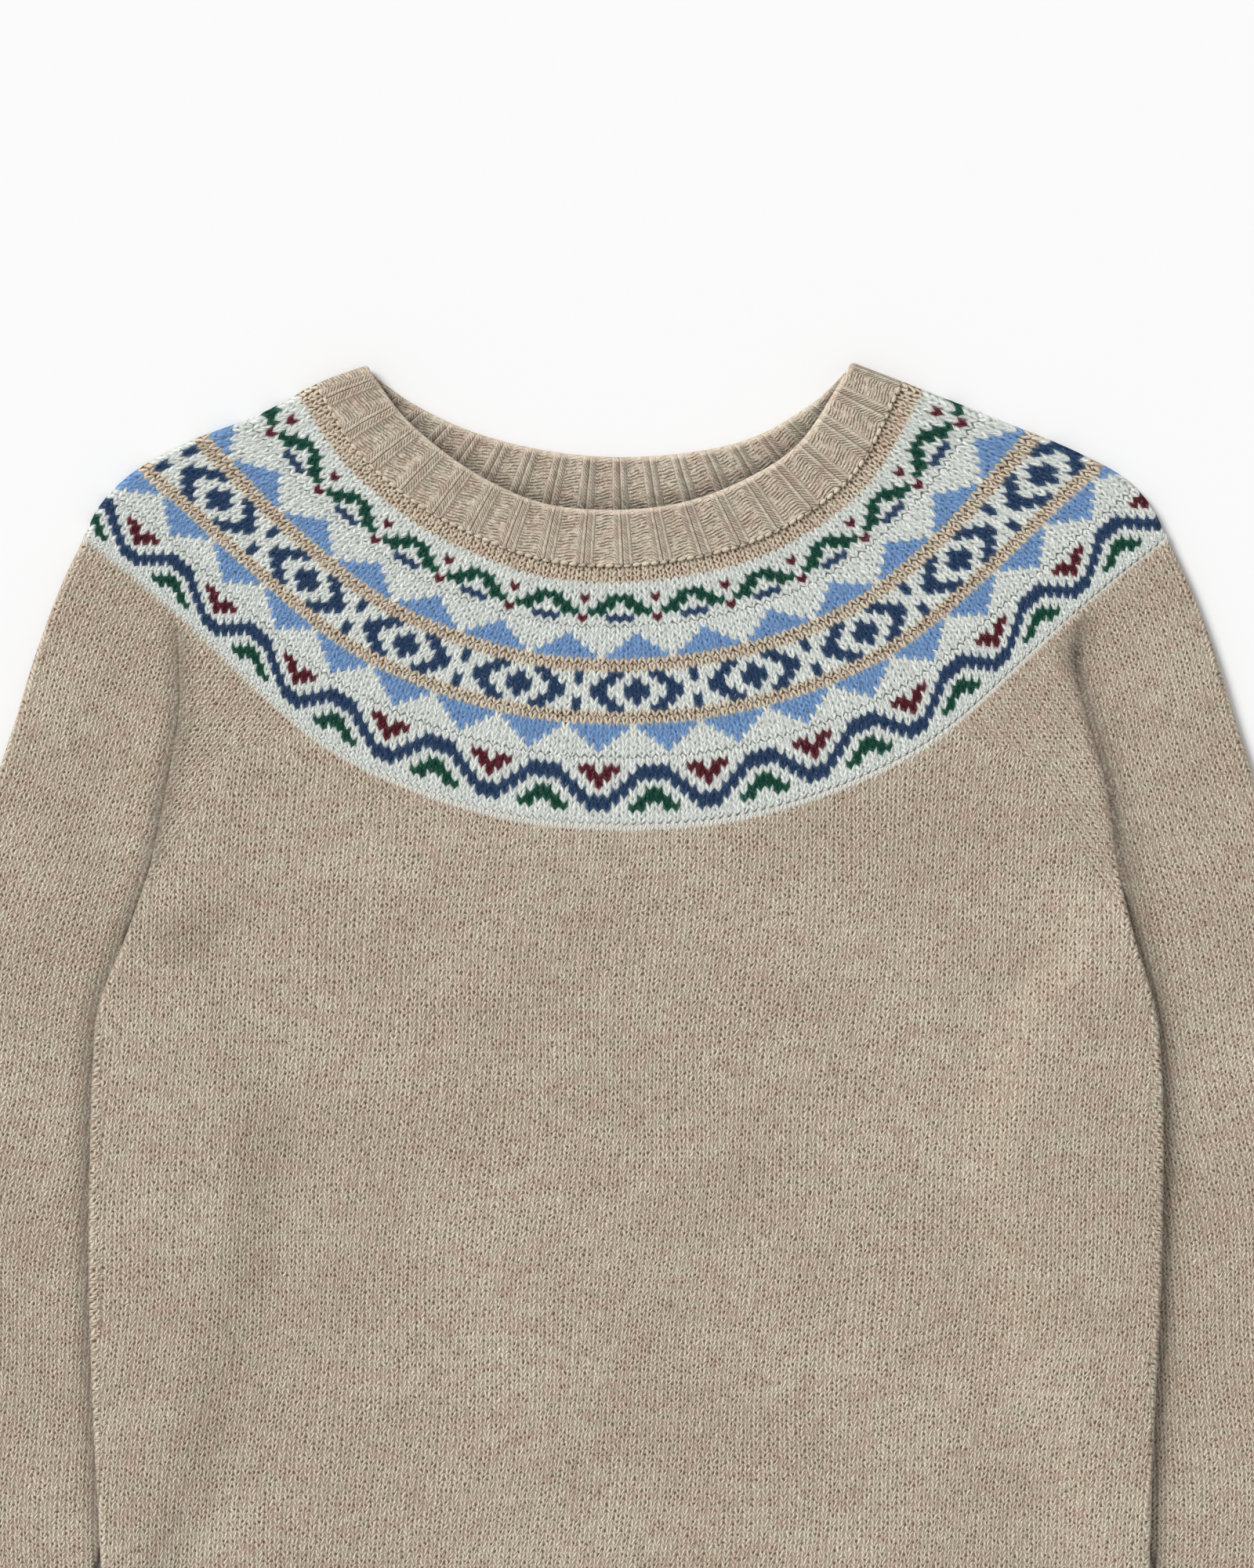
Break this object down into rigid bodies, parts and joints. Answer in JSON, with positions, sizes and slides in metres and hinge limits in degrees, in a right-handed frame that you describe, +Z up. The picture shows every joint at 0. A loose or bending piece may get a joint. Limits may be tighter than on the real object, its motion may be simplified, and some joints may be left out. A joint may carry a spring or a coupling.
{
  "type": "fair isle jumper",
  "caption": "Round-yoke knitted jumper laid flat, front up, with long sleeves beside the body, a patterned yoke, a ribbed crew neckband, ribbed cuffs and a ribbed hem; worn on the upper body",
  "frame": {"origin": "centre of the garment's outline as it lies, at the height of the surface it rests on", "axes": "+X across the garment from the left sleeve of the view to the right one, +Y from hem to neck, +Z up out of the front"},
  "size_m": [0.6822, 0.6598, 0.0126],
  "materials": {
    "oatmeal_knit": "soft matt plain-knitted wool in an oatmeal melange with fine fuzz",
    "fair_isle_knit": "soft matt stranded wool in cream with green, navy, blue, burgundy and tan bands",
    "oatmeal_rib": "soft matt ribbed wool in an oatmeal melange"
  },
  "bodies": {
    "root": {"body_front": "oatmeal_knit", "body_back": "oatmeal_knit", "sleeve_left": "oatmeal_knit", "sleeve_right": "oatmeal_knit", "yoke": "fair_isle_knit", "neckband": "oatmeal_rib", "hem_rib_front": "oatmeal_rib", "hem_rib_back": "oatmeal_rib", "cuff_left": "oatmeal_rib", "cuff_right": "oatmeal_rib"}
  },
  "joints": []
}
